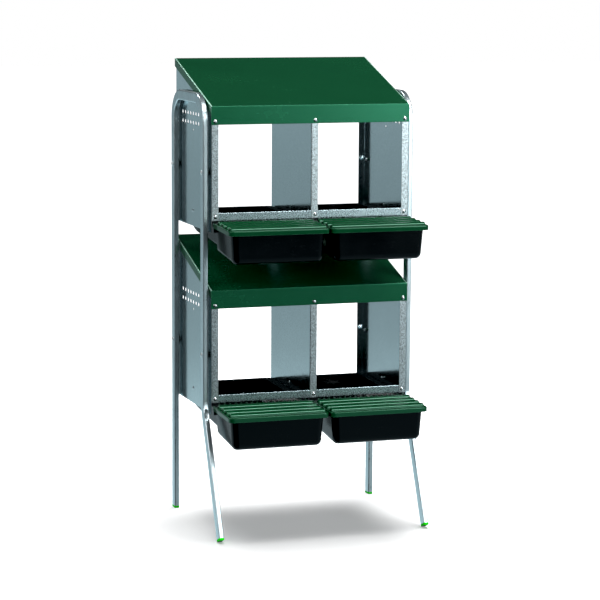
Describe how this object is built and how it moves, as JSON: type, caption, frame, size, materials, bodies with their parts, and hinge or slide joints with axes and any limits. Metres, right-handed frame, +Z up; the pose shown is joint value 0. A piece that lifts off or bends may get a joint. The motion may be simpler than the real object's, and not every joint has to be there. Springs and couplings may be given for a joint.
{
  "type": "chicken nesting box",
  "caption": "Free-standing tiered nesting box for hens: galvanised sheet nests with sloping green roofs on bent tube legs, with pull-out roll-away trays and hinged ribbed egg lids.",
  "frame": {"origin": "on the floor, under the middle of the object's bounding box", "axes": "+Z up, the nests open towards -Y, +X to the right for someone facing the nests"},
  "size_m": [0.648, 0.5602, 1.3547],
  "materials": {
    "galvanised_tube": "drawn galvanised tube, satin",
    "galvanised_sheet": "spangled galvanised sheet, semi-gloss",
    "zinc_fixings": "bright zinc plating",
    "roof_green": "satin green coil coating",
    "lid_green": "glossy green moulding",
    "tray_black": "glossy black moulding",
    "foot_green": "soft lime green moulding"
  },
  "bodies": {
    "stand": {"left_leg_frame": "galvanised_tube", "rear_left_foot_cap": "foot_green", "front_left_foot_cap": "foot_green", "right_leg_frame": "galvanised_tube", "rear_right_foot_cap": "foot_green", "front_right_foot_cap": "foot_green", "upper_left_side_panel": "galvanised_sheet", "upper_left_runner": "galvanised_sheet", "upper_divider_left_runner": "galvanised_sheet", "upper_right_side_panel": "galvanised_sheet", "upper_right_runner": "galvanised_sheet", "upper_divider_right_runner": "galvanised_sheet", "upper_divider": "galvanised_sheet", "upper_roof": "roof_green", "upper_front_rail": "galvanised_sheet", "upper_rear_rail": "galvanised_sheet", "lower_left_side_panel": "galvanised_sheet", "lower_left_runner": "galvanised_sheet", "lower_divider_left_runner": "galvanised_sheet", "lower_right_side_panel": "galvanised_sheet", "lower_right_runner": "galvanised_sheet", "lower_divider_right_runner": "galvanised_sheet", "lower_divider": "galvanised_sheet", "lower_roof": "roof_green", "lower_front_rail": "galvanised_sheet", "lower_rear_rail": "galvanised_sheet", "leg_bolts": "zinc_fixings", "leg_nuts": "zinc_fixings", "leg_spacers": "zinc_fixings", "roof_screws": "zinc_fixings", "front_rail_screws": "zinc_fixings", "rear_rail_screws": "zinc_fixings", "keeper_screws": "zinc_fixings", "keeper_nuts": "zinc_fixings"},
    "upper_left_tray": {"upper_left_tray": "tray_black"},
    "upper_left_lid": {"upper_left_lid": "lid_green"},
    "upper_right_tray": {"upper_right_tray": "tray_black"},
    "upper_right_lid": {"upper_right_lid": "lid_green"},
    "lower_left_tray": {"lower_left_tray": "tray_black"},
    "lower_left_lid": {"lower_left_lid": "lid_green"},
    "lower_right_tray": {"lower_right_tray": "tray_black"},
    "lower_right_lid": {"lower_right_lid": "lid_green"}
  },
  "joints": [
    {"name": "upper_left_tray_slide", "type": "slide", "parent": "stand", "child": "upper_left_tray", "axis": [0, -0.9996, -0.0265], "range_m": [0, 0.3]},
    {"name": "upper_left_lid_hinge", "type": "hinge", "parent": "upper_left_tray", "child": "upper_left_lid", "pos_m": [-0.14895, -0.12459, 0.89758], "axis": [-1, 0, 0], "range_deg": [0, 90]},
    {"name": "upper_right_tray_slide", "type": "slide", "parent": "stand", "child": "upper_right_tray", "axis": [0, -0.9996, -0.0265], "range_m": [0, 0.3]},
    {"name": "upper_right_lid_hinge", "type": "hinge", "parent": "upper_right_tray", "child": "upper_right_lid", "pos_m": [0.15095, -0.12459, 0.89758], "axis": [-1, 0, 0], "range_deg": [0, 90]},
    {"name": "lower_left_tray_slide", "type": "slide", "parent": "stand", "child": "lower_left_tray", "axis": [0, -0.9996, -0.0265], "range_m": [-0.0077, 0.2923]},
    {"name": "lower_left_lid_hinge", "type": "hinge", "parent": "lower_left_tray", "child": "lower_left_lid", "pos_m": [-0.15085, -0.13229, 0.37037], "axis": [-1, 0, 0], "range_deg": [0, 90]},
    {"name": "lower_right_tray_slide", "type": "slide", "parent": "stand", "child": "lower_right_tray", "axis": [0, -0.9996, -0.0265], "range_m": [-0.0077, 0.2923]},
    {"name": "lower_right_lid_hinge", "type": "hinge", "parent": "lower_right_tray", "child": "lower_right_lid", "pos_m": [0.15115, -0.13229, 0.37037], "axis": [-1, 0, 0], "range_deg": [0, 90]}
  ]
}
